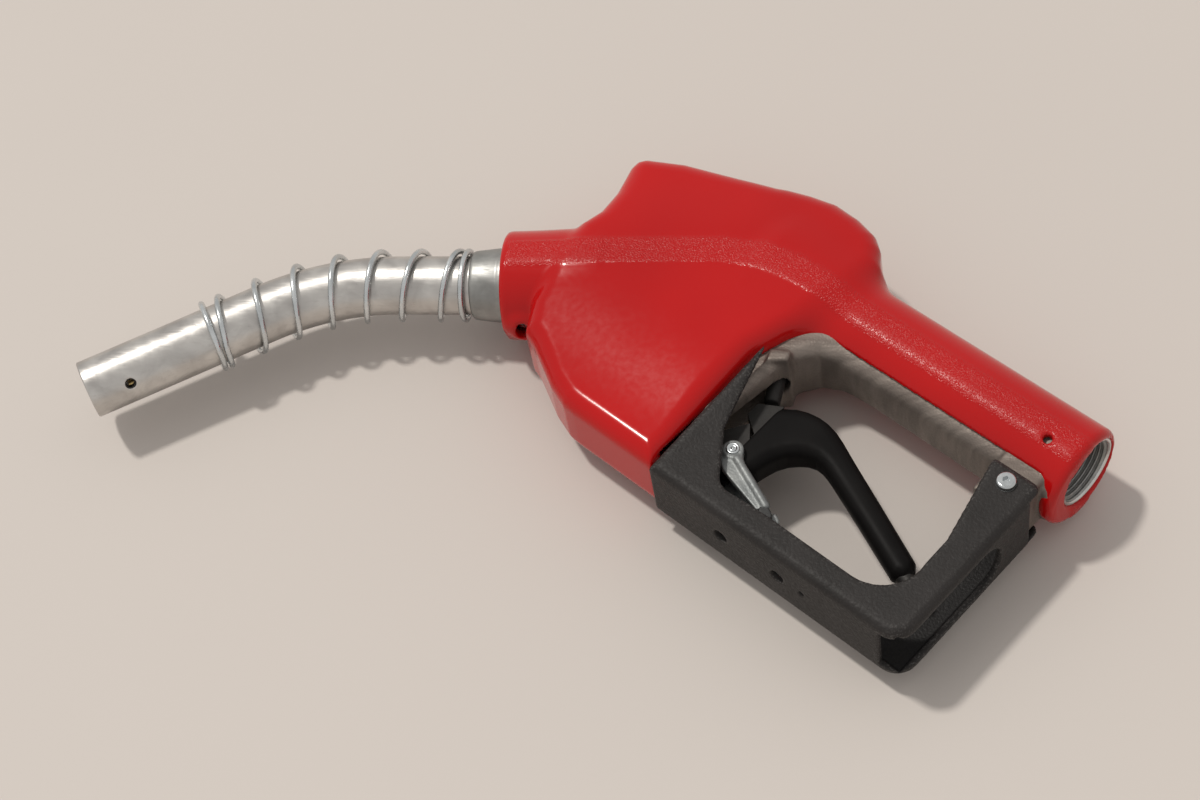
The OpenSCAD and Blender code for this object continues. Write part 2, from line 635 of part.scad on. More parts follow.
module clip_tip() color([0.05, 0.05, 0.05]) at_handle()
  translate([clip_pin_at[0], clip_pin_at[1], 0]) rotate([0, 0, clip_angle])
    for (side = [0, 1]) mirror([0, 0, side])
      translate([clip_length, -1.8, clip_in]) cube([clip_tip, 3.8, clip_thick]);

// ---- Inlet ----
module inlet_screen() color([0.7, 0.7, 0.68]) difference() {
  union() {
    along_handle(-inlet_length - 0.8) ring(10.4, 8, 0.8);
    along_handle(-inlet_length - 16) ring(8.6, 8, 15.6);
  }
  for (a = [0:60:120]) along_handle(-inlet_length - 14) rotate([0, 0, a])
    translate([-12, -1.5, 0]) cube([24, 3, 11]);
}

body_casting();
scuff_guard();
lever_guard();
hold_open_rack();
guard_rear_screw();
guard_rear_nut();
guard_front_pin();
spout_adapter();
adapter_oring();
spout_tube();
spout_spring();
sensing_tube();
sensing_port_insert();
spout_screw();
check_valve_seat();
check_valve_poppet();
check_valve_spring();
poppet_cap();
poppet_cap_oring();
main_spring();
main_poppet();
poppet_disc();
main_stem();
stem_packing();
packing_nut();
diaphragm_cap();
diaphragm_cap_screws();
diaphragm_spring();
diaphragm();
latch_pin();
latch_rollers();
plunger();
plunger_spring();
plunger_bush();
lever_core();
lever_sleeve();
lever_pin();
hold_open_clip();
clip_tip();
clip_pin();
inlet_screen();
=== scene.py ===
import json
import math

import bpy
import bmesh
import numpy as np
from mathutils import Matrix, Vector


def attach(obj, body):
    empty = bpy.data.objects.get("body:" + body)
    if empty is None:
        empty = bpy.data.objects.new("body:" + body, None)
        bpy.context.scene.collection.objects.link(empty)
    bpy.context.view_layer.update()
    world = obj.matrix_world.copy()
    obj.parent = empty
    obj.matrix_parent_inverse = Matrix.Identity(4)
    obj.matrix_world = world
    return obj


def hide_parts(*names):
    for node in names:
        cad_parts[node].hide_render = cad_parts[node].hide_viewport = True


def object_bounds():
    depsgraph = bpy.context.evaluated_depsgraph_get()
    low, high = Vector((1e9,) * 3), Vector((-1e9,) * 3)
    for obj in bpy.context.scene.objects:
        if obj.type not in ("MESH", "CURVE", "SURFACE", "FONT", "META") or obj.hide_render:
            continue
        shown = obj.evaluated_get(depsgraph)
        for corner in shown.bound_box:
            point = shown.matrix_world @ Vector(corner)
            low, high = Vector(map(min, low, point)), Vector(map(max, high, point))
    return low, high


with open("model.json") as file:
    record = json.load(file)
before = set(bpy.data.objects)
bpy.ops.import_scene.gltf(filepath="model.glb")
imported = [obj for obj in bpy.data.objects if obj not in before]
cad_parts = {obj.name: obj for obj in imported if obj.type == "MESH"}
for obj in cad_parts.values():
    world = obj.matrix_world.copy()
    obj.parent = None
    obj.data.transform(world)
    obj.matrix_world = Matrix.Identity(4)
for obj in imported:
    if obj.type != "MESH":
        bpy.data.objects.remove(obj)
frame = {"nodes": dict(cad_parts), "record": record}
cad_low, cad_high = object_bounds()

MM = 0.001

# ---------------------------------------------------------------- frames, in millimetres
# The row frame's origin is the inlet mouth. The outlet frame starts at the collar's front centre, with x
# along the outlet axis. The handle frame starts at the inlet mouth, with u out along the handle.
HANDLE_ANGLE = math.radians(37.5)
COS_H, SIN_H = math.cos(HANDLE_ANGLE), math.sin(HANDLE_ANGLE)
OUTLET_BACK, OUTLET_RISE = 228.3, 86.6

# places in the handle frame
LEVER_PIVOT = (-115.7, -83)
CLIP_PIVOT = (-104.7, -78.4)
GUARD_SCREW = (-14.5, -30.5)
STEM_FOOT = (-110.2, -51.5)
# unit vectors up the main stem and up the plunger, in the handle frame: in the row frame they lean
# 8 degrees to either side of y
STEM_LEAN = (-0.4925, 0.8703)
PLUNGER_LEAN = (-0.7133, 0.7009)


def from_handle(u, v):
    """Row x and y of a point in the handle frame."""
    return u * COS_H + v * SIN_H, -u * SIN_H + v * COS_H


def to_handle(x, y):
    """Handle u and v of a point in the row frame."""
    return x * COS_H - y * SIN_H, x * SIN_H + y * COS_H


def handle_points(points):
    """Points of a handle-frame outline, in the row frame."""
    return [from_handle(u, v) for u, v in points]


def outlet_points(points):
    """Points of an outlet-frame outline, in the row frame."""
    return [(x - OUTLET_BACK, y + OUTLET_RISE) for x, y in points]


# ---------------------------------------------------------------- distance fields
def arc(centre, radius, start, end, steps=6):
    """Points of an arc, angles in degrees."""
    turn = [math.radians(start + (end - start) * i / steps) for i in range(steps + 1)]
    return [(centre[0] + radius * math.cos(a), centre[1] + radius * math.sin(a)) for a in turn]


def polygon_distance(x, y, points):
    """Signed distance to a closed outline in the plane, negative inside."""
    nearest = np.full(x.shape, 1e9, np.float32)
    inside = np.zeros(x.shape, bool)
    for (ax, ay), (bx, by) in zip(points, points[1:] + points[:1]):
        ex, ey = bx - ax, by - ay
        wx, wy = x - ax, y - ay
        t = np.clip((wx * ex + wy * ey) / (ex * ex + ey * ey), 0, 1)
        nearest = np.minimum(nearest, (wx - ex * t) ** 2 + (wy - ey * t) ** 2)
        if ay != by:
            inside ^= ((ay <= y) != (by <= y)) & (wx < ex * (y - ay) / ey)
    return np.where(inside, -1, 1).astype(np.float32) * np.sqrt(nearest)


def bar_distance(x, y, points):
    """Signed distance to a chain of tapered round bars; each point is (x, y, radius)."""
    nearest = np.full(x.shape, 1e9, np.float32)
    for (ax, ay, ar), (bx, by, br) in zip(points, points[1:]):
        ex, ey = bx - ax, by - ay
        t = np.clip(((x - ax) * ex + (y - ay) * ey) / (ex * ex + ey * ey), 0, 1)
        one = np.hypot(x - ax - ex * t, y - ay - ey * t) - (ar + (br - ar) * t)
        nearest = smooth_union(nearest, one, 1.5)
    return nearest


def slab(plane, height, half, edge):
    """A plane outline made into a plate of the given half thickness, with rounded edges."""
    a, b = plane + edge, height - half + edge
    return np.minimum(np.maximum(a, b), 0) + np.hypot(np.maximum(a, 0), np.maximum(b, 0)) - edge


def smooth_union(a, b, k):
    """Both fields together, with the seam between them rounded over k."""
    mix = np.clip(k - np.abs(a - b), 0, None) / k
    return np.minimum(a, b) - mix * mix * k / 4


def cut(a, b, k=0.6):
    """a without b, with its new edges softened over k."""
    return -smooth_union(-a, b, k)


def across_line(u, v, foot, lean):
    """Signed distance from the line through foot that runs along the unit vector lean."""
    return (u - foot[0]) * lean[1] - (v - foot[1]) * lean[0]


def from_point(u, v, point):
    """Distance from a point in the plane."""
    return np.hypot(u - point[0], v - point[1])


def ramp(value, start, end):
    """0 at start, 1 at end, smooth between."""
    t = np.clip((value - start) / (end - start), 0, 1)
    return t * t * (3 - 2 * t)


def grid(low, high, step):
    """Coordinates of a grid that spans a box, x and y shaped for the plane and z for the height."""
    axes = [np.arange(a, b + step, step, dtype=np.float32) for a, b in zip(low, high)]
    x, y = np.meshgrid(axes[0], axes[1], indexing="ij")
    return x[:, :, None], y[:, :, None], axes[2][None, None, :]


def sample(field, at):
    """Trilinear value of a field at points in grid units."""
    top = np.array(field.shape) - 1.001
    at = np.clip(at, 0, top)
    cell = at.astype(int)
    f = at - cell
    i, j, k = cell.T
    fx, fy, fz = f.T
    value = 0
    for a in (0, 1):
        for b in (0, 1):
            for c in (0, 1):
                weight = (fx if a else 1 - fx) * (fy if b else 1 - fy) * (fz if c else 1 - fz)
                value = value + weight * field[i + a, j + b, k + c]
    return value


def surface_net(field):
    """Points, in grid units, and quads of a field's zero surface."""
    inside = field < 0
    cells = np.array(field.shape) - 1
    strides = np.array([cells[1] * cells[2], cells[2], 1])
    total = int(cells.prod())
    sums, count = np.zeros((3, total)), np.zeros(total)
    quads = []
    for axis in range(3):
        lower = [slice(None)] * 3
        upper = [slice(None)] * 3
        lower[axis], upper[axis] = slice(0, -1), slice(1, None)
        a, b = field[tuple(lower)], field[tuple(upper)]
        edge = np.argwhere(inside[tuple(lower)] != inside[tuple(upper)])
        va, vb = a[tuple(edge.T)], b[tuple(edge.T)]
        place = edge.astype(float)
        place[:, axis] += va / (va - vb)
        p, q = (axis + 1) % 3, (axis + 2) % 3
        ring = []
        for dp, dq in ((-1, -1), (0, -1), (0, 0), (-1, 0)):
            cell = edge.copy()
            cell[:, p] += dp
            cell[:, q] += dq
            ok = np.all((cell >= 0) & (cell < cells), axis=1)
            flat = np.where(ok, cell @ strides, -1)
            ring.append(flat)
            count += np.bincount(flat[ok], minlength=total)
            for c in range(3):
                sums[c] += np.bincount(flat[ok], place[ok, c], total)
        ring = np.stack(ring, 1)
        flip = va > vb
        ring[flip] = ring[flip][:, ::-1]
        quads.append(ring[np.all(ring >= 0, axis=1)])
    used = np.flatnonzero(count)
    index = np.full(total, -1)
    index[used] = np.arange(len(used))
    points = (sums[:, used] / count[used]).T
    return points, index[np.concatenate(quads)][:, ::-1]


def settle(field, points, rounds=3):
    """Moves points onto the field's zero surface."""
    for _ in range(rounds):
        value = sample(field, points)
        slope = np.stack([sample(field, points + d) - sample(field, points - d) for d in np.eye(3) * 0.5], 1)
        points = points - np.clip(value / (slope ** 2).sum(1).clip(0.05), -0.6, 0.6)[:, None] * slope
    return points


def mesh_object(name, points, faces, smooth=True):
    """An object made of points in metres and faces that all have the same number of corners."""
    mesh = bpy.data.meshes.new(name)
    faces = np.asarray(faces)
    corners = faces.shape[1]
    mesh.vertices.add(len(points))
    mesh.vertices.foreach_set("co", np.asarray(points, np.float32).ravel())
    mesh.loops.add(faces.size)
    mesh.loops.foreach_set("vertex_index", faces.ravel().astype(np.int32))
    mesh.polygons.add(len(faces))
    mesh.polygons.foreach_set("loop_start", np.arange(0, faces.size, corners, dtype=np.int32))
    mesh.polygons.foreach_set("use_smooth", np.full(len(faces), smooth))
    mesh.update(calc_edges=True)
    mesh.validate()
    piece = bpy.data.objects.new(name, mesh)
    bpy.context.scene.collection.objects.link(piece)
    return piece


def solid(name, field, low, step, place=None, marks=()):
    """The piece whose surface is a field's zero level. place turns grid millimetres into row x and y;
    marks are (attribute name, field) pairs that its material reads."""
    points, quads = surface_net(field)
    points = settle(field, points)
    mm = points * step + np.array(low)
    if place:
        mm[:, 0], mm[:, 1] = place(mm[:, 0].copy(), mm[:, 1].copy())
    piece = mesh_object(name, mm * MM, quads)
    for mark, values in marks:
        data = piece.data.attributes.new(mark, "FLOAT", "POINT").data
        data.foreach_set("value", sample(values, points).astype(np.float32))
    return piece


def curvature(field, step):
    """How convex a field's surface is: 0 where it is flat, up to 1 along a sharp edge."""
    bend = sum(np.gradient(np.gradient(field, step, axis=a), step, axis=a) for a in range(3))
    return np.clip(bend * 1.2, 0, 1).astype(np.float32)


# ---------------------------------------------------------------- materials
class Paint:
    """A procedural material under construction: noise in object space, mixes and bumps."""

    def __init__(self, name, **values):
        self.material = bpy.data.materials.new(name)
        self.material.use_nodes = True
        self.nodes = self.material.node_tree.nodes
        self.links = self.material.node_tree.links
        self.shader = self.nodes["Principled BSDF"]
        for key, value in values.items():
            self.shader.inputs[key.replace("_", " ")].default_value = value
        self.place = self.nodes.new("ShaderNodeTexCoord").outputs["Object"]

    def noise(self, scale, detail=4, stretch=(1, 1, 1), turn=0, distortion=0):
        mapping = self.nodes.new("ShaderNodeMapping")
        mapping.inputs["Scale"].default_value = stretch
        mapping.inputs["Rotation"].default_value = (0, 0, turn)
        self.links.new(self.place, mapping.inputs["Vector"])
        node = self.nodes.new("ShaderNodeTexNoise")
        node.inputs["Scale"].default_value = scale
        node.inputs["Detail"].default_value = detail
        node.inputs["Distortion"].default_value = distortion
        self.links.new(mapping.outputs[0], node.inputs["Vector"])
        return node.outputs["Fac"]

    def mark(self, name):
        node = self.nodes.new("ShaderNodeAttribute")
        node.attribute_name = name
        return node.outputs["Fac"]

    def span(self, value, low, high, to_low=0.0, to_high=1.0):
        node = self.nodes.new("ShaderNodeMapRange")
        for key, number in (("From Min", low), ("From Max", high), ("To Min", to_low), ("To Max", to_high)):
            node.inputs[key].default_value = number
        self.links.new(value, node.inputs["Value"])
        return node.outputs["Result"]

    def math(self, operation, a, b):
        node = self.nodes.new("ShaderNodeMath")
        node.operation = operation
        for socket, value in zip(node.inputs, (a, b)):
            if isinstance(value, (int, float)):
                socket.default_value = value
            else:
                self.links.new(value, socket)
        return node.outputs[0]

    def blend(self, factor, a, b):
        node = self.nodes.new("ShaderNodeMix")
        node.data_type = "RGBA"
        self.links.new(factor, node.inputs["Factor"])
        for socket, value in ((node.inputs[6], a), (node.inputs[7], b)):
            if isinstance(value, tuple):
                socket.default_value = (*value, 1)
            else:
                self.links.new(value, socket)
        return node.outputs[2]

    def colour(self, value):
        self.links.new(value, self.shader.inputs["Base Color"])

    def roughness(self, value):
        self.links.new(value, self.shader.inputs["Roughness"])

    def bump(self, *layers):
        """Layers of (height, strength, distance in metres), the coarsest first."""
        normal = None
        for height, strength, distance in layers:
            node = self.nodes.new("ShaderNodeBump")
            node.inputs["Strength"].default_value = strength
            node.inputs["Distance"].default_value = distance
            self.links.new(height, node.inputs["Height"])
            if normal:
                self.links.new(normal, node.inputs["Normal"])
            normal = node.outputs["Normal"]
        self.links.new(normal, self.shader.inputs["Normal"])


def red_vinyl():
    p = Paint("red_vinyl", IOR=1.46, Specular_IOR_Level=0.32)
    slow = p.noise(14, 2)
    fine = p.noise(420, 3)
    stipple = p.noise(1500, 1)
    band = p.mark("band")
    p.colour(p.blend(p.span(slow, 0.3, 0.7), (0.42, 0.0040, 0.0045), (0.49, 0.0055, 0.0058)))
    dull = p.span(fine, 0.3, 0.7, 0.13, 0.17)
    p.roughness(p.math("ADD", dull, p.math("MULTIPLY", band, 0.12)))
    grains = p.math("MULTIPLY", p.span(stipple, 0.40, 0.60), band)
    p.bump((slow, 0.04, 0.003), (fine, 0.02, 0.0004), (grains, 0.38, 0.0004))
    return p.material


def black_nylon():
    p = Paint("black_nylon", IOR=1.45, Specular_IOR_Level=0.3)
    coarse = p.noise(900, 3)
    fine = p.noise(2400, 2)
    patch = p.noise(60, 5)
    edge = p.mark("edge")
    worn = p.math("MULTIPLY", p.span(edge, 0.35, 0.9), p.span(p.noise(1300, 5), 0.52, 0.66))
    dark = p.blend(p.span(patch, 0.3, 0.7), (0.017, 0.015, 0.014), (0.025, 0.022, 0.021))
    outside = p.blend(worn, dark, (0.085, 0.08, 0.076))
    # painted shade: faces marked inside get near black, for the deep shadow in the guard's channel
    p.colour(p.blend(p.mark("inside"), outside, (0.0045, 0.004, 0.004)))
    p.roughness(p.span(coarse, 0.3, 0.7, 0.46, 0.62))
    p.bump((coarse, 0.45, 0.0006), (fine, 0.25, 0.0002))
    return p.material


def lever_rubber():
    p = Paint("lever_rubber", IOR=1.4, Specular_IOR_Level=0.12)
    slow, fine = p.noise(70, 4), p.noise(1100, 3)
    p.colour(p.blend(p.span(slow, 0.3, 0.7), (0.0045, 0.0040, 0.0040), (0.0075, 0.0068, 0.0065)))
    p.roughness(p.span(slow, 0.3, 0.7, 0.44, 0.54))
    p.bump((slow, 0.06, 0.001), (fine, 0.15, 0.0002))
    return p.material


def cast_aluminium():
    p = Paint("cast_aluminium", Metallic=0.55)
    stripes = p.noise(300, 5, (0.16, 1.6, 0.16), HANDLE_ANGLE, 0.4)
    grain = p.noise(1300, 4)
    stain = p.noise(38, 6, distortion=0.8)
    base = p.blend(p.span(stain, 0.3, 0.7), (0.17, 0.14, 0.12), (0.27, 0.23, 0.20))
    p.colour(p.blend(p.span(stripes, 0.35, 0.65, 0, 0.5), base, (0.11, 0.09, 0.078)))
    p.roughness(p.span(grain, 0.3, 0.7, 0.42, 0.62))
    p.bump((stripes, 0.25, 0.0009), (grain, 0.35, 0.0004))
    return p.material


def metal(name, light, dark, rough, grain_scale=900, stretch=(1, 1, 1), turn=0.0, bump=0.1, metallic=1.0):
    """A bare or plated metal: two tones in slow patches, brushed or even fine grain."""
    p = Paint(name, Metallic=metallic)
    patch = p.noise(90, 6, distortion=0.5)
    grain = p.noise(grain_scale, 4, stretch, turn)
    tone = p.blend(p.span(patch, 0.32, 0.68), dark, light)
    p.colour(p.blend(p.span(grain, 0.55, 0.8, 0, 0.5), tone, dark))
    p.roughness(p.math("ADD", p.span(grain, 0.3, 0.7, rough[0], rough[1]), p.span(patch, 0.4, 0.7, 0, 0.05)))
    p.bump((patch, 0.06, 0.002), (grain, bump, 0.0004))
    return p.material


def soft_part(name, light, dark, rough):
    """Rubber, plastic or packing: an even tone with fine grain."""
    p = Paint(name)
    patch, grain = p.noise(120, 4), p.noise(1400, 3)
    p.colour(p.blend(p.span(patch, 0.3, 0.7), dark, light))
    p.roughness(p.span(grain, 0.3, 0.7, rough - 0.08, rough + 0.08))
    p.bump((grain, 0.2, 0.0003))
    return p.material


SPOUT_TURN = math.radians(-12)
materials = {
    "red_vinyl": red_vinyl(),
    "casting": cast_aluminium(),
    "black_nylon": black_nylon(),
    "lever_black": lever_rubber(),
    "zinc": metal("cast_zinc", (0.27, 0.28, 0.275), (0.19, 0.20, 0.20), (0.42, 0.56), 1100,
                  bump=0.35, metallic=0.75),
    "bright_zinc": metal("bright_zinc", (0.74, 0.77, 0.78), (0.52, 0.55, 0.56), (0.16, 0.30)),
    "adapter_grey": metal("adapter_grey", (0.40, 0.40, 0.385), (0.25, 0.25, 0.24), (0.34, 0.5),
                          700, (0.2, 1, 1), metallic=0.85),
    "spout_aluminium": metal("spout_aluminium", (0.66, 0.64, 0.61), (0.47, 0.45, 0.43), (0.27, 0.42),
                             500, (0.22, 1.4, 1.4), SPOUT_TURN, 0.16),
    "black_rubber": soft_part("black_rubber", (0.022, 0.022, 0.022), (0.012, 0.012, 0.012), 0.5),
    "brass": metal("brass", (0.70, 0.52, 0.24), (0.52, 0.36, 0.15), (0.22, 0.36)),
    "dark_metal": metal("dark_metal", (0.035, 0.032, 0.030), (0.018, 0.017, 0.016), (0.45, 0.6),
                        metallic=0.5),
    "bright_steel": metal("bright_steel", (0.72, 0.72, 0.71), (0.52, 0.52, 0.51), (0.16, 0.28)),
    "white_ptfe": soft_part("white_ptfe", (0.82, 0.82, 0.79), (0.74, 0.73, 0.70), 0.45),
}

slot_of = {s["node"]: s["material_slot"] for s in frame["record"]["subparts"]}
for name, node in frame["nodes"].items():
    node.data.materials.clear()
    node.data.materials.append(materials[slot_of[name]])


def finish_piece(piece, body, slot, *replaced):
    """Gives a piece its material and its body, and hides the CAD nodes that it stands for."""
    piece.data.materials.append(materials[slot])
    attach(piece, body)
    if replaced:
        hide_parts(*replaced)


# ---------------------------------------------------------------- scuff guard
SKIN = 3.0
GRIP_R, GRIP_V = 20.4, -3.3
ARCH_EDGE = [
    (-122, -130), (-122.3, -47), (-121.2, -39.7), (-118.6, -32.6), (-112.7, -27), (-104.5, -23.8),
    (-95, -21.4), (-82, -20), (-8.2, -19.6), (-5.5, -22.5), (-4.5, -26), (20, -26), (20, -130),
]
BODY_OUTLINE = [
    (30, 17), (37, 24), (42.4, 34.5), (46.8, 48.6), (49.5, 52.4), (54, 53.7), (70.5, 50.8), (93, 42.9),
    (108.7, 37.6), (113, 36.8), (122.5, 33.8), (133, 29.2), (142, 21), (148.4, 12.2), (150.4, 5),
    (149.6, -4), (141, -14), (120, -34), (104, -46), (67.6, -94.5), (34.9, -69.4), (31, -66),
    (25, -57), (16.5, -39), (12.5, -33), (14, -20),
]
# what the cover leaves open under the grip, in the handle frame
GRIP_OPENING = [
    (-150, -98), (-150, -60), (-135, -25), (-118, -12), (-8, -12), (-8, -60), (-100, -60), (-100, -98),
]
COLLAR_MOUTH_R, INLET_MOUTH_R = 16.9, 14.6
# place of the spout screw's window along the outlet axis
WINDOW_X = 9
SMALL_HOLE, SMALL_HOLE_R = (-13, -8), 1.8
BAND_RAISE = 0.38
BAND_PATH = [(3.5, 0), (88, 0), (104, -3), (118, -9.5), (133, -20), (225, -90.5)]


def cover_outer(x, y, z):
    """Distance to the scuff guard's outer form, without its openings."""
    ox, oy = x + OUTLET_BACK, y - OUTLET_RISE
    u, v = to_handle(x, y)
    height = np.abs(z)
    half = 23.8 - 3.5 * ramp(oy, 4, 52) - 7.2 * ramp(-v, 44, 106) - 2.5 * ramp(ox, 96, 150)
    edge = 7 + 2.5 * ramp(oy, -8, 30) + 2 * ramp(-oy, 5, 60) * ramp(-v, 100, 60)
    body = slab(polygon_distance(x, y, outlet_points(BODY_OUTLINE)), height, half, edge)
    neck_r = 22 + 1.4 * ramp(ox, 0, 44)
    neck = slab(np.hypot(oy, z) - neck_r, np.abs(ox - 21), 21, 2.2)
    grip = slab(np.hypot(v - GRIP_V, z) - GRIP_R, np.abs(u + 74.2), 75.2, 3.0)
    form = smooth_union(smooth_union(body, neck, 3), grip, 12)
    # pad round the spout screw's window, and the soft dent low on the side
    boss = np.hypot(np.hypot(ox - WINDOW_X, z) * 0.9, (oy + 20.5) * 1.6) - 6.6
    form = smooth_union(form, boss, 3)
    dent = 0.15 * np.exp(-((ox - 62) ** 2 + (oy + 36) ** 2) / 90)
    return form + dent


def cover_band(x, y, z):
    """1 on the raised band along each side, 0 off it."""
    ox, oy = x + OUTLET_BACK, y - OUTLET_RISE
    line = bar_distance(ox, oy, [(px, py, 0) for px, py in BAND_PATH])
    band = ramp(line, 6.3, 5.5) * ramp(ox, 2.5, 3.5)
    return band * ramp(np.abs(z), 9, 12)


def make_cover():
    step = 1.0
    low, high = (-231, -20, -28), (13, 145, 28)
    x, y, z = grid(low, high, step)
    u, v = to_handle(x, y)
    ox, oy = x + OUTLET_BACK, y - OUTLET_RISE
    outer = cover_outer(x, y, z)
    band = cover_band(x, y, z)
    shell = np.maximum(outer - BAND_RAISE * band, -(outer + SKIN))
    open_below = np.maximum(polygon_distance(x, y, handle_points(ARCH_EDGE)), -30)
    shell = cut(shell, open_below + 0 * z, 1.6)
    under = np.maximum(polygon_distance(u, v, GRIP_OPENING), np.abs(z) - 12.8)
    shell = cut(shell, under, 1.2)
    # collar mouth, inlet mouth, the spout screw's window under the collar, and the small hole
    shell = cut(shell, np.maximum(np.hypot(oy, z) - COLLAR_MOUTH_R, ox - 8), 1.8)
    shell = cut(shell, np.maximum(np.hypot(v, z) - INLET_MOUTH_R, -8 - u), 1.4)
    shell = cut(shell, np.maximum(np.hypot(ox - WINDOW_X, z * 0.62) - 3.0, oy), 0.8)
    shell = cut(shell, np.maximum(from_point(u, v, SMALL_HOLE) - SMALL_HOLE_R, -z), 0.5)
    return solid("scuff_guard_vinyl", shell, low, step, marks=[("band", band + 0 * shell)])


# ---------------------------------------------------------------- casting
ARCH_UNDERSIDE = [
    (-160, -76), (-118.5, -76), (-117, -62), (-114.4, -42), (-111.6, -32), (-106.5, -25.6), (-99, -22.8),
    (-84, -21.7), (-30, -22.3), (-2, -22.3), (-2, 0), (-120, 0), (-160, -20),
]
REAR_LUG = [(-24, -38), (-5.8, -38), (-5.8, -12), (-24, -12)]
COVER_TAB = [(-121, -37), (-114, -33), (-112, -37), (-119, -43)]
PAD_SLOT = [(-127, -70), (-111, -70), (-111, -43), (-127, -43)]
# bores: the inlet's behind its thread, the narrower waterway that goes on from it, the main stem's,
# and the plunger's, which reaches so far up from the lever's pivot
INLET_BORE_R, WATERWAY_R, STEM_BORE_R, PLUNGER_BORE_R = 13.3, 10.5, 5.2, 9.2
PLUNGER_BORE_TOP = 40


def make_casting():
    step = 0.9
    low, high = (-163, -78, -19), (0.6, 15.5, 19)
    u, v, z = grid(low, high, step)
    height = np.abs(z)
    grip = slab(np.hypot(v - GRIP_V, z) - 17.3, np.abs(u + 62.5), 61.5, 1.2)
    rib = slab(polygon_distance(u, v, ARCH_UNDERSIDE), height, 11.5 + 3 * ramp(-u, 92, 112), 5)
    form = smooth_union(grip, rib, 5)
    lug = slab(polygon_distance(u, v, REAR_LUG), height, 13.1, 1.2)
    form = smooth_union(form, lug, 2)
    # tab that the cover's edge hooks behind, at the top of the arch on each side
    tab = slab(polygon_distance(u, v, COVER_TAB), height, 16.2, 1)
    form = smooth_union(form, tab, 1.5)
    form = cut(form, np.maximum(np.hypot(v, z) - INLET_BORE_R, -21 - u), 0.4)
    form = cut(form, np.maximum(np.hypot(v, z) - WATERWAY_R, -60 - u), 0.4)
    form = cut(form, np.hypot(across_line(u, v, STEM_FOOT, STEM_LEAN), z) - STEM_BORE_R, 0.6)
    # slot for the lever's pad when the lever is squeezed
    form = cut(form, slab(polygon_distance(u, v, PAD_SLOT), height, 5.4, 0.5), 0.4)
    form = cut(form, from_point(u, v, GUARD_SCREW) - 2.5 + 0 * z, 0.4)
    bore = np.hypot(across_line(u, v, LEVER_PIVOT, PLUNGER_LEAN), z) - PLUNGER_BORE_R
    up = (v - LEVER_PIVOT[1]) * PLUNGER_LEAN[1] + (u - LEVER_PIVOT[0]) * PLUNGER_LEAN[0]
    form = cut(form, np.maximum(bore, up - PLUNGER_BORE_TOP), 0.6)
    return solid("grip_casting", form, low, step, from_handle)


def revolve(name, profile, sides, place, closed=False):
    """A turned piece: profile of (along, radius) in millimetres, swept round the x axis of place."""
    rings = len(profile)
    turn = np.arange(sides) * 2 * math.pi / sides
    points = [[(a, r * math.cos(t), r * math.sin(t)) for t in turn] for a, r in profile]
    points = np.array(points).reshape(-1, 3)
    last = rings if closed else rings - 1
    faces = [(i * sides + k, i * sides + (k + 1) % sides, (i + 1) % rings * sides + (k + 1) % sides,
              (i + 1) % rings * sides + k) for i in range(last) for k in range(sides)]
    piece = mesh_object(name, points * MM, faces)
    piece.data.transform(place)
    return piece


def on_handle(u=0.0, v=0.0, z=0.0):
    """Matrix whose x axis runs out along the handle, from a point in the handle frame."""
    x, y = from_handle(u, v)
    return Matrix.Translation((x * MM, y * MM, z * MM)) @ Matrix.Rotation(-HANDLE_ANGLE, 4, "Z")


def on_outlet(x=0.0, y=0.0, z=0.0):
    """Matrix whose x axis runs along the outlet axis, from a point in the outlet frame."""
    return Matrix.Translation(((x - OUTLET_BACK) * MM, (y + OUTLET_RISE) * MM, z * MM))


def make_inlet():
    """The threaded mouth: a bright faced ring, a lead-in chamfer and the helical thread."""
    pitch, length, root, depth, sides = 1.81, 19.0, 13.25, 1.15, 96
    steps = int(length / pitch * 8)
    mouth = [
        (-5, 14.9), (-0.5, 14.9), (-0.1, 14.6), (0.0, 14.3), (0.0, 13.9), (-0.7, 13.1), (-1.2, 13.3),
        (-5, 13.5),
    ]
    ring = revolve("inlet_mouth", mouth, sides, on_handle(), closed=True)
    points, faces = [], []
    for i in range(steps + 1):
        along = -0.6 - length * i / steps
        for k in range(sides):
            a = 2 * math.pi * k / sides
            wave = abs(((along / pitch + k / sides) % 1) * 2 - 1)
            lead = min(1, i / 6)
            r = root - depth * lead * min(1, max(0, 1.25 * wave - 0.12))
            points.append((along, r * math.cos(a), r * math.sin(a)))
    for i in range(steps):
        for k in range(sides):
            n = (k + 1) % sides
            faces.append((i * sides + k, (i + 1) * sides + k, (i + 1) * sides + n, i * sides + n))
    thread = mesh_object("inlet_thread_wall", np.array(points) * MM, faces)
    thread.data.transform(on_handle())
    return ring, thread


# ---------------------------------------------------------------- lever guard
GUARD_HALF, GUARD_WALL, GUARD_BOTTOM, GUARD_BACK = 16.0, 2.6, -106.0, -3.0
GUARD_WINDOW = ([(-26.2, -20), (-16.8, -62)] + arc((-33.5, -77.5), 17.2, 12, -90, 7)
                + [(-50, -94.6), (-72.7, -94.4), (-89, -95.2)] + arc((-92, -87.5), 8, -80, -140, 3)
                + [(-110.7, -75.4), (-116.2, -56), (-119, -45.7), (-121, -38), (-121, -20)])
# the line from which the guard's cheeks flare out towards the cover
CREASE = ((-121, -104), (-110.5, -83.5))
FLARE = 0.2
# holes in the bottom web: u and radius
WEB_HOLES = ((-88, 2.9), (-60.5, 2.9), (-49, 1.2))
REAR_SLOT_TOP, REAR_SLOT_HALF = -59, 11


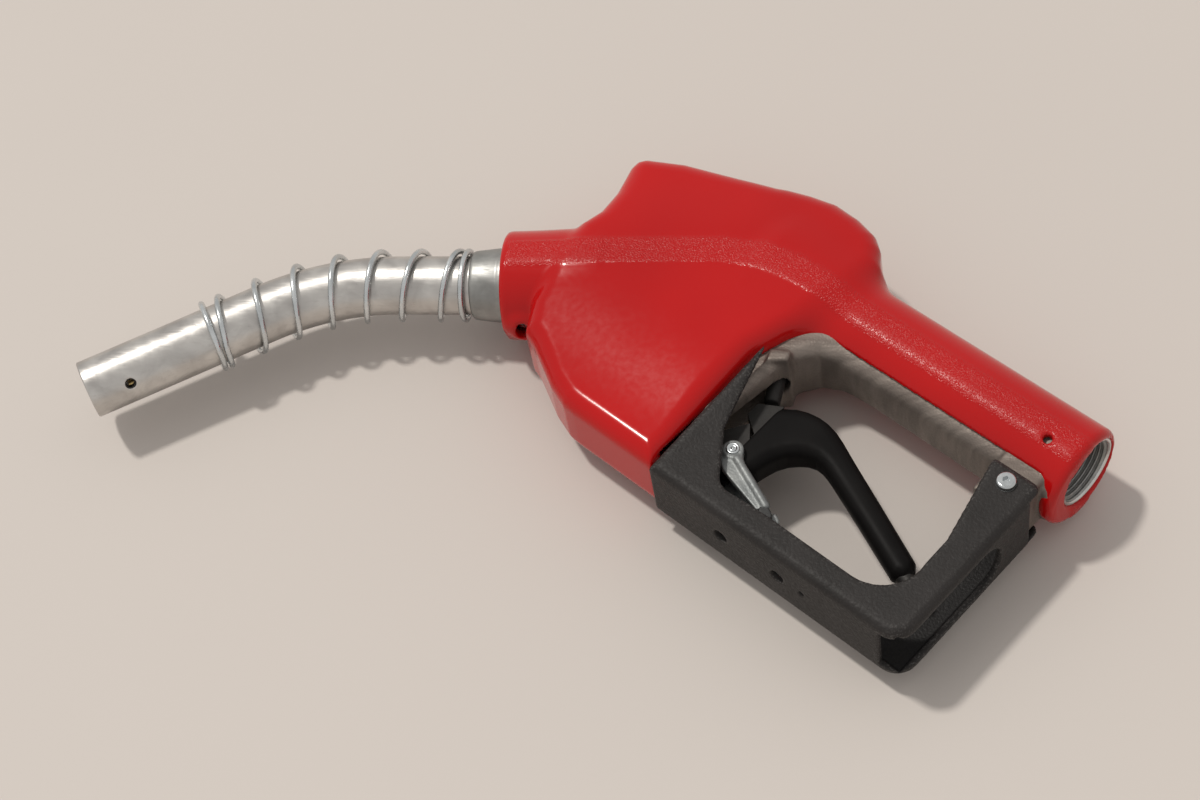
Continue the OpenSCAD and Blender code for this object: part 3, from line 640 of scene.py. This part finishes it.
def make_guard():
    step = 0.8
    low, high = (-124, -108, -25), (0, -20, 25)
    u, v, z = grid(low, high, step)
    (au, av), (bu, bv) = CREASE
    length = math.hypot(bu - au, bv - av)
    off = ((v - av) * (bu - au) - (u - au) * (bv - av)) / length
    height = np.abs(z) - FLARE * np.where(off > 0, off, 0)
    frame_outline = [(-122.2, GUARD_BOTTOM)] + arc((GUARD_BACK - 9, GUARD_BOTTOM + 9), 9, -90, 0)
    frame_outline += arc((GUARD_BACK - 4, -27), 4, 0, 90, 4) + [(-26, -23), (-122.2, -36)]
    plate = polygon_distance(u, v, frame_outline)
    window = polygon_distance(u, v, GUARD_WINDOW)
    outer = slab(plate, height, GUARD_HALF, 3.6)
    # hollow between the cheeks: closed by the rear and bottom webs, open at the front
    walls = np.maximum(u - (GUARD_BACK - GUARD_WALL), (GUARD_BOTTOM + GUARD_WALL) - v)
    inner = slab(np.maximum(walls, -140 - u), height, GUARD_HALF - GUARD_WALL, 1.5)
    form = cut(outer, inner, 0.6)
    form = cut(form, window + 0 * z, 2.0)
    # the gap between the rear ears, and the round-topped slot in the rear web
    form = cut(form, np.maximum(-31 - v, np.abs(z) - (GUARD_HALF - GUARD_WALL)) + 0 * u, 0.6)
    round_top = np.hypot(np.maximum(v - REAR_SLOT_TOP, 0), z) - REAR_SLOT_HALF
    below = np.maximum(np.abs(z) - REAR_SLOT_HALF, -13 - u)
    form = cut(form, np.where(v > REAR_SLOT_TOP, np.maximum(round_top, -14 - u), below), 1.0)
    for at, radius in WEB_HOLES:
        form = cut(form, np.maximum(np.hypot(u - at, z) - radius, v + 98), 0.5)
    form = cut(form, from_point(u, v, GUARD_SCREW) - 2.6 + 0 * z, 0.4)
    # mark of the faces that look inwards, which the material paints darker: painted shade for the deep
    # shadow in the guard's channel, not a different coat
    depth = np.maximum(np.abs(z) - GUARD_HALF + GUARD_WALL, u - GUARD_BACK + GUARD_WALL)
    inside = ramp(depth, 0.6, 0.2)
    inside = inside * ramp(v, GUARD_BOTTOM + GUARD_WALL - 0.6, GUARD_BOTTOM + GUARD_WALL - 0.2)
    marks = [("edge", curvature(form, step)), ("inside", inside + 0 * form)]
    return solid("lever_guard_coated", form, low, step, from_handle, marks=marks)


# ---------------------------------------------------------------- lever
LEVER_OUTLINE = [
    (-113, -58.7), (-109.6, -54), (-105, -49.9), (-100.4, -46.7), (-95.4, -44.9), (-91, -44.2),
    (-86.5, -44.3), (-82, -45.2), (-77.3, -46.9), (-50, -59), (-24, -70.7), (-21.2, -74.5),
    (-22.5, -79), (-27.5, -80.8), (-50, -71.2), (-73.1, -61.6), (-76.8, -60.4), (-80.4, -60),
    (-83.7, -60.8), (-86.6, -62.6), (-89.7, -65.4), (-91.9, -69), (-93.4, -73.5), (-94.4, -77.6),
    (-97, -82), (-103, -84.5), (-110, -82), (-113, -72),
]


# the sleeve ends at this u, and the steel core shows in front of it
SLEEVE_END = -104.6
CORE_SIDE = [(-125, -90), (SLEEVE_END, -90), (SLEEVE_END, -46), (-125, -46)]


def make_lever():
    step = 0.7
    low, high = (-114, -88, -9), (-18, -41, 9)
    u, v, z = grid(low, high, step)
    bar = polygon_distance(u, v, LEVER_OUTLINE)
    half = 5.6 + 1.9 * ramp(-u, 66, 92)
    form = slab(bar, np.abs(z), half, 5.0)
    form = cut(form, slab(polygon_distance(u, v, CORE_SIDE), np.abs(z), 20, 0.5), 1.0)
    return solid("lever_grip", form, low, step, from_handle)


# ---------------------------------------------------------------- hold-open clip
def mirrored(piece, side):
    """The piece itself for side 1, turned over to the nozzle's other side for side -1."""
    if side < 0:
        piece.data.transform(Matrix.Scale(-1, 4, (0, 0, 1)))
        piece.data.flip_normals()
    return piece


CLIP_PLATE = [
    (-108.6, -79), (-107.6, -84), (-102, -87.6), (-80.6, -93.2), (-78.2, -90.8), (-80, -88),
    (-97, -81), (-101, -77),
]


def make_clip(side):
    """One of the clip's two plates, with a round rail along its upper edge."""
    step = 0.33
    low, high = (-111, -98, 6.6), (-72, -72, 13)
    u, v, z = grid(low, high, step)
    head = slab(from_point(u, v, CLIP_PIVOT) - 4.1, np.abs(z - 9.2), 1.6, 0.6)
    plate = slab(polygon_distance(u, v, CLIP_PLATE), np.abs(z - 9.0), 1.3, 0.7)
    rail = np.hypot(bar_distance(u, v, [(-100.5, -80.6, 0), (-79, -89.6, 0)]), z - 9.6) - 1.75
    form = smooth_union(smooth_union(head, plate, 1.2), rail, 1.0)
    form = cut(form, from_point(u, v, CLIP_PIVOT) - 1.95 + 0 * z, 0.3)
    name = "hold_open_clip_near" if side > 0 else "hold_open_clip_far"
    return mirrored(solid(name, form, low, step, from_handle), side)


def make_clip_tip(side):
    """The rubber end of one clip plate."""
    step = 0.25
    low, high = (-81.5, -95.5, 7), (-72, -88.5, 12)
    u, v, z = grid(low, high, step)
    end = bar_distance(u, v, [(-78.2, -91.4, 2.0), (-75.6, -92.4, 1.7)])
    name = "hold_open_clip_tip_near" if side > 0 else "hold_open_clip_tip_far"
    return mirrored(solid(name, slab(end, np.abs(z - 9.1), 1.5, 0.5), low, step, from_handle), side)


def make_clip_pin():
    """The pin through clip and lever, with a dimpled head."""
    profile = [
        (-10.6, 0.05), (-10.6, 1.6), (-10.4, 1.85), (10.7, 1.85), (10.72, 2.6), (11.15, 2.6),
        (11.45, 2.3), (11.5, 1.9), (11.1, 1.45), (10.95, 1.1), (11.05, 0.8), (11.4, 0.45), (11.5, 0.05),
    ]
    place = on_handle(*CLIP_PIVOT) @ Matrix.Rotation(math.radians(-90), 4, "Y")
    return revolve("clip_pin_turned", profile, 32, place)


def make_rack():
    """The notched rack on the guard's bottom web that the clip's end hooks into."""
    step = 0.4
    low, high = (-80, -105, -11), (-59, -88, 11)
    u, v, z = grid(low, high, step)
    teeth = [
        (-76.5, -103.6), (-76.5, -88.6), (-75.6, -88.0), (-72.6, -89.4), (-71, -93), (-69.4, -92.0),
        (-67.8, -95.8), (-66, -97.4), (-64.6, -96), (-62, -100), (-62, -103.6),
    ]
    form = slab(polygon_distance(u, v, teeth), np.abs(z), 6.2, 0.6)
    foot = slab(polygon_distance(u, v, [(-77, -103.6), (-77, -101), (-62, -101), (-62, -103.6)]),
                np.abs(z), 10, 0.5)
    return solid("hold_open_rack_cast", smooth_union(form, foot, 0.6), low, step, from_handle)


# ---------------------------------------------------------------- spout
BEND_START, BEND_R, BEND, TIP_STRAIGHT = -45.0, 110.0, math.radians(30), 77.0
SPOUT_R, SPOUT_INNER = 11.9, 10.3
ADAPTER_FRONT = -13.8
PORT_BACK, PORT_TILT = 17.0, math.radians(62)


def spout_path(s):
    """Point and heading of the spout's centreline s millimetres past the start of its bend."""
    bend = BEND_R * BEND
    if s < 0:
        return (BEND_START - s, 0.0), 0.0
    if s < bend:
        a = s / BEND_R
        return (BEND_START - BEND_R * math.sin(a), -BEND_R * (1 - math.cos(a))), a
    end = (BEND_START - BEND_R * math.sin(BEND), -BEND_R * (1 - math.cos(BEND)))
    return (end[0] - (s - bend) * math.cos(BEND), end[1] - (s - bend) * math.sin(BEND)), BEND


def make_spout(sides=96):
    bend = BEND_R * BEND
    end = bend + TIP_STRAIGHT
    outside = [(s, SPOUT_R) for s in (-60, -48, -30, -12)] + [(bend * i / 24, SPOUT_R) for i in range(25)]
    outside += [(bend + 7.0 * i, SPOUT_R) for i in range(1, 8)]
    outside += [(end - PORT_BACK + 0.5 * i, SPOUT_R) for i in range(-8, 9)]
    outside += [(end - 6, SPOUT_R)]
    lip = [
        (end - 0.55, SPOUT_R), (end - 0.2, SPOUT_R - 0.12), (end, SPOUT_R - 0.45),
        (end, SPOUT_INNER + 0.5), (end - 0.25, SPOUT_INNER + 0.15), (end - 0.7, SPOUT_INNER),
    ]
    inside = [(s, SPOUT_INNER) for s, _ in reversed(outside)]
    rings = outside + lip + inside
    points = []
    for s, r in rings:
        (x, y), a = spout_path(s)
        for k in range(sides):
            t = 2 * math.pi * k / sides
            across = r * math.cos(t)
            points.append((x - across * math.sin(a), y + across * math.cos(a), r * math.sin(t)))
    n = len(rings)
    faces = [(i * sides + k, (i + 1) % n * sides + k, (i + 1) % n * sides + (k + 1) % sides,
              i * sides + (k + 1) % sides) for i in range(n) for k in range(sides)]
    piece = mesh_object("spout_tube_drawn", np.array(points) * MM, faces)
    drill(piece, port_cylinder("port_cutter", 2.3, 6, 16))
    piece.data.transform(on_outlet())
    return piece


def at_port():
    """Matrix whose x axis runs out through the sensing port, from the spout's centreline."""
    (x, y), turn = spout_path(BEND_R * BEND + TIP_STRAIGHT - PORT_BACK)
    place = Matrix.Translation((x * MM, y * MM, 0)) @ Matrix.Rotation(turn, 4, "Z")
    return place @ Matrix.Rotation(PORT_TILT, 4, "X") @ Matrix.Rotation(math.radians(-90), 4, "Y")


def port_cylinder(name, radius, start, end):
    profile = [(start, 0.01), (start, radius), (end, radius), (end, 0.01)]
    return revolve(name, profile, 32, at_port())


def drill(piece, cutter):
    """Takes the cutter out of the piece, and deletes the cutter."""
    hole = piece.modifiers.new("hole", "BOOLEAN")
    hole.object = cutter
    hole.solver = "EXACT"
    graph = bpy.context.evaluated_depsgraph_get()
    mesh = bpy.data.meshes.new_from_object(piece.evaluated_get(graph))
    piece.modifiers.clear()
    piece.data = mesh
    bpy.data.objects.remove(cutter)


def make_port():
    """The dark bush in the sensing port's hole."""
    profile = [(8.8, 2.3), (11.4, 2.3), (11.55, 2.1), (11.5, 1.75), (11.2, 1.7), (8.8, 1.7)]
    piece = revolve("sensing_port_bush", profile, 32, at_port(), closed=True)
    piece.data.transform(on_outlet())
    return piece


WIRE_R, COIL_R, COIL_TURNS, CLOSED_PITCH, COIL_LENGTH = 1.2, 13.9, 9, 3.0, 111.0
COIL_GAP = 0.1
COIL_START = ADAPTER_FRONT - BEND_START - WIRE_R - COIL_GAP


def make_spring(sides=14, per_turn=48):
    count = COIL_TURNS * per_turn
    centre = []
    for i in range(count + 1):
        t = i * COIL_TURNS / count
        opened = min(max((t - 1.3) / (COIL_TURNS - 2.6), 0), 1)
        s = CLOSED_PITCH * t + (COIL_LENGTH - CLOSED_PITCH * COIL_TURNS) * opened - COIL_START
        (x, y), turn = spout_path(s)
        a = math.radians(360 * t - 90)
        across = COIL_R * math.cos(a)
        centre.append((x - across * math.sin(turn), y + across * math.cos(turn), COIL_R * math.sin(a)))
    centre = np.array(centre)
    ahead = np.gradient(centre, axis=0)
    ahead /= np.linalg.norm(ahead, axis=1)[:, None]
    out = np.cross(ahead, (1.0, 0, 0))
    out /= np.linalg.norm(out, axis=1)[:, None]
    side = np.cross(ahead, out)
    rings = [(0, 0.72, -0.12), (0, 0.95, 0.0)] + [(i, 1.0, 0.0) for i in range(1, count)]
    rings += [(count, 0.95, 0.0), (count, 0.72, 0.12)]
    points = []
    for i, size, shift in rings:
        for k in range(sides):
            t = 2 * math.pi * k / sides
            radial = WIRE_R * size * (math.cos(t) * out[i] + math.sin(t) * side[i])
            points.append(centre[i] + radial + ahead[i] * shift)
    n = len(rings)
    faces = [(i * sides + k, (i + 1) * sides + k, (i + 1) * sides + (k + 1) % sides,
              i * sides + (k + 1) % sides) for i in range(n - 1) for k in range(sides)]
    piece = mesh_object("spout_spring_wire", np.array(points) * MM, faces)
    mesh = bmesh.new()
    mesh.from_mesh(piece.data)
    bmesh.ops.holes_fill(mesh, edges=[e for e in mesh.edges if e.is_boundary])
    bmesh.ops.recalc_face_normals(mesh, faces=mesh.faces)
    mesh.to_mesh(piece.data)
    mesh.free()
    piece.data.transform(on_outlet())
    return piece


def make_adapter():
    profile = [
        (4, 12.0), (-13.4, 12.0), (ADAPTER_FRONT, 12.4), (ADAPTER_FRONT, 13.3), (-13.2, 13.9),
        (-12.2, 14.1), (-3.2, 15.1), (-2.6, 15.0), (-2.2, 15.2), (-0.4, 15.4), (4, 15.5),
    ]
    return revolve("spout_adapter_turned", profile, 96, on_outlet(), closed=True)


def on_stem():
    """Matrix whose x axis runs up the main stem from its foot on the lever."""
    return on_handle(*STEM_FOOT) @ Matrix.Rotation(math.atan2(STEM_LEAN[1], STEM_LEAN[0]), 4, "Z")


def make_stem():
    profile = [(3, 0.05), (3, 2.6), (3.6, 3.2), (45.3, 3.2), (45.3, 0.05)]
    return revolve("main_stem_turned", profile, 48, on_stem())


def make_packing_nut():
    """The nut round the stem, sunk in the casting."""
    profile = [(17, 3.4), (16.6, 3.7), (16.6, 4.6), (17, 5.0), (26, 5.0), (26, 3.4)]
    return revolve("packing_nut_turned", profile, 48, on_stem(), closed=True)


def make_screw():
    """The guard's rear screw: round head with a hexagonal socket."""
    step = 0.16
    low, high = (-19.2, -35.2, 15), (-9.8, -25.8, 19.2)
    u, v, z = grid(low, high, step)
    du, dv = u - GUARD_SCREW[0], v - GUARD_SCREW[1]
    head = slab(np.hypot(du, dv) - 3.75, np.abs(z - 16.0), 2.35, 1.1)
    flats = [np.abs(du * math.cos(a) + dv * math.sin(a)) for a in np.radians([0, 60, 120])]
    hexagon = np.maximum.reduce(flats)
    head = cut(head, np.maximum(hexagon - 1.95, 16.3 - z), 0.2)
    return solid("guard_screw_head", head, low, step, from_handle)


# ---------------------------------------------------------------- build
def build():
    finish_piece(make_cover(), "nozzle_body", "red_vinyl", "scuff_guard")
    finish_piece(make_casting(), "nozzle_body", "casting", "body_casting")
    mouth, thread = make_inlet()
    finish_piece(mouth, "nozzle_body", "bright_steel")
    finish_piece(thread, "nozzle_body", "adapter_grey")
    # the stem and packing nut get the near-black dark metal, not their own bright steel and brass: painted
    # shade where they sit deep in the casting
    finish_piece(make_stem(), "stem", "dark_metal", "main_stem")
    finish_piece(make_packing_nut(), "nozzle_body", "dark_metal", "packing_nut")
    finish_piece(make_guard(), "nozzle_body", "black_nylon", "lever_guard")
    finish_piece(make_lever(), "lever", "lever_black", "lever_sleeve")
    for side in (1, -1):
        finish_piece(make_clip(side), "clip", "zinc", "hold_open_clip")
        finish_piece(make_clip_tip(side), "clip", "black_rubber", "clip_tip")
    finish_piece(make_clip_pin(), "lever", "bright_zinc", "clip_pin")
    finish_piece(make_rack(), "nozzle_body", "zinc", "hold_open_rack")
    finish_piece(make_spout(), "nozzle_body", "spout_aluminium", "spout_tube")
    finish_piece(make_port(), "nozzle_body", "dark_metal", "sensing_port_insert")
    finish_piece(make_spring(), "nozzle_body", "bright_zinc", "spout_spring")
    finish_piece(make_adapter(), "nozzle_body", "adapter_grey", "spout_adapter")
    finish_piece(make_screw(), "nozzle_body", "bright_zinc")


build()

# ---------------------------------------------------------------- floor, light and camera
FLOOR_SIZE = 6.0


def make_floor():
    half = FLOOR_SIZE / 2
    corners = [(-half, -half, 0), (half, -half, 0), (half, half, 0), (-half, half, 0)]
    points = np.array(corners) + np.array([0, 0, cad_low.z])
    floor = mesh_object("floor", points, [(0, 1, 2, 3)], smooth=False)
    p = Paint("floor_paper", Roughness=0.6)
    p.colour(p.blend(p.span(p.noise(3, 2), 0.3, 0.7), (0.575, 0.525, 0.487), (0.59, 0.54, 0.50)))
    floor.data.materials.append(p.material)


def aim(thing, back, roll=0.0):
    """Turns a light or camera so that back points from what it looks at towards the thing itself."""
    thing.rotation_mode = "QUATERNION"
    turn = Matrix.Rotation(roll, 3, "Z").to_quaternion()
    thing.rotation_quaternion = (-back).to_track_quat("-Z", "Y") @ turn


def make_lights():
    sun = bpy.data.lights.new("key", "SUN")
    sun.energy = 1.66
    sun.angle = math.radians(5)
    sun.color = (1.0, 0.965, 0.91)
    lamp = bpy.data.objects.new("key", sun)
    towards_sun = Vector((-10.4, 5.5, 25.5))
    aim(lamp, towards_sun.normalized())
    bpy.context.scene.collection.objects.link(lamp)
    world = bpy.data.worlds.new("studio")
    world.use_nodes = True
    world.node_tree.nodes["Background"].inputs["Color"].default_value = (1.0, 0.975, 0.95, 1)
    world.node_tree.nodes["Background"].inputs["Strength"].default_value = 0.60
    bpy.context.scene.world = world
    bpy.context.scene.view_settings.view_transform = "Standard"


def make_camera():
    azimuth, elevation, roll = math.radians(15.58), math.radians(54.4), math.radians(-12.3)
    target, distance = Vector((-0.1853, 0.0306, 0)), 0.9
    camera = bpy.data.objects.new("camera", bpy.data.cameras.new("camera"))
    camera.data.lens = 69.4
    camera.data.sensor_width = 36
    back = Vector((math.sin(azimuth) * math.cos(elevation), -math.cos(azimuth) * math.cos(elevation),
                   math.sin(elevation)))
    aim(camera, back, roll)
    camera.location = target + back * distance
    bpy.context.scene.collection.objects.link(camera)
    bpy.context.scene.camera = camera


make_floor()
make_lights()
make_camera()
